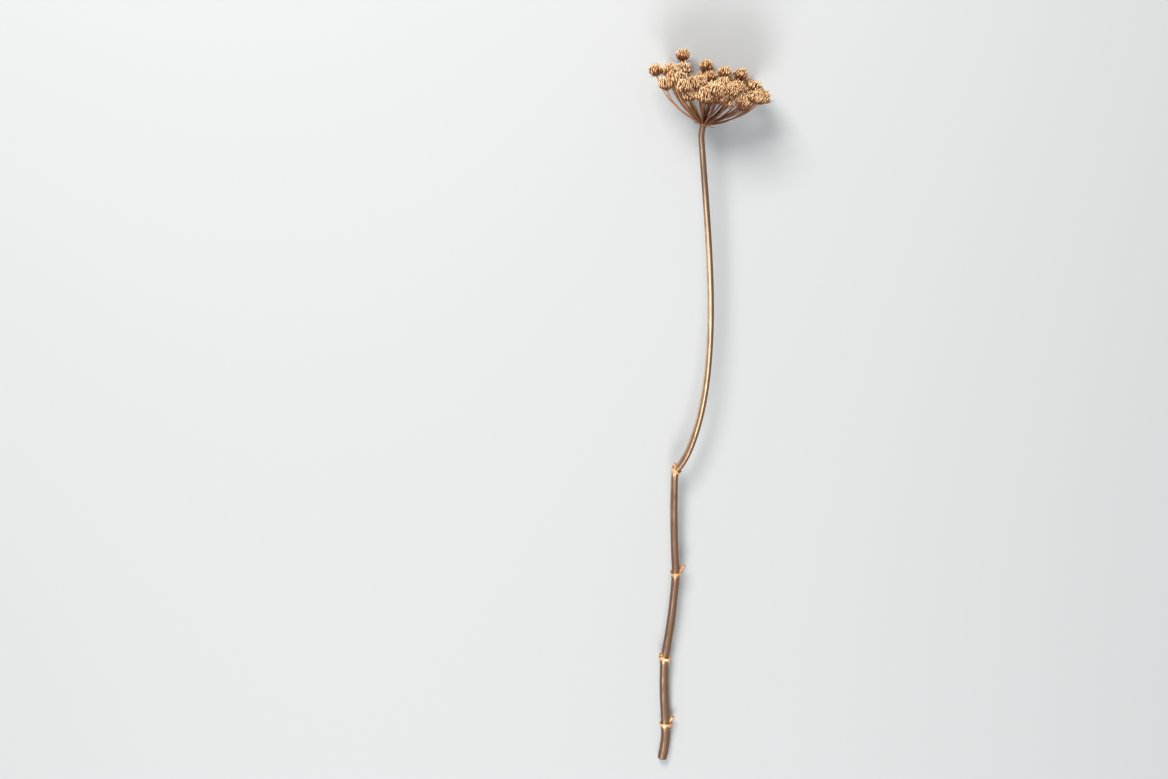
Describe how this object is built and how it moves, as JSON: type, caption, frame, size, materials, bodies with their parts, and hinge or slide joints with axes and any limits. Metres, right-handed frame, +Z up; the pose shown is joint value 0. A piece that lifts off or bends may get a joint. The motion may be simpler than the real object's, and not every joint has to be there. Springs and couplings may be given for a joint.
{
  "type": "queen annes lace flower",
  "caption": "Cut, dried Queen Anne's lace lying on its side: a ribbed, jointed stem with a domed spray of fine curved rays ending in round seed clusters, all sprayed metallic gold.",
  "frame": {"origin": "Middle of the whole flower's box, on the table it lies on.", "axes": "+Z up from the table. The stem lies along +Y from its cut end to the head, and the open face of the head looks along +Y. +X is to the right of the lying stem seen from above, head away from the viewer."},
  "size_m": [0.1106, 0.6824, 0.1024],
  "materials": {
    "stem": "dried plant stalk under thin satin bronze and gold metallic spray paint",
    "umbel": "dried seed head under satin gold metallic spray paint"
  },
  "bodies": {
    "root": {"stem": "stem", "umbel": "umbel"}
  },
  "joints": []
}
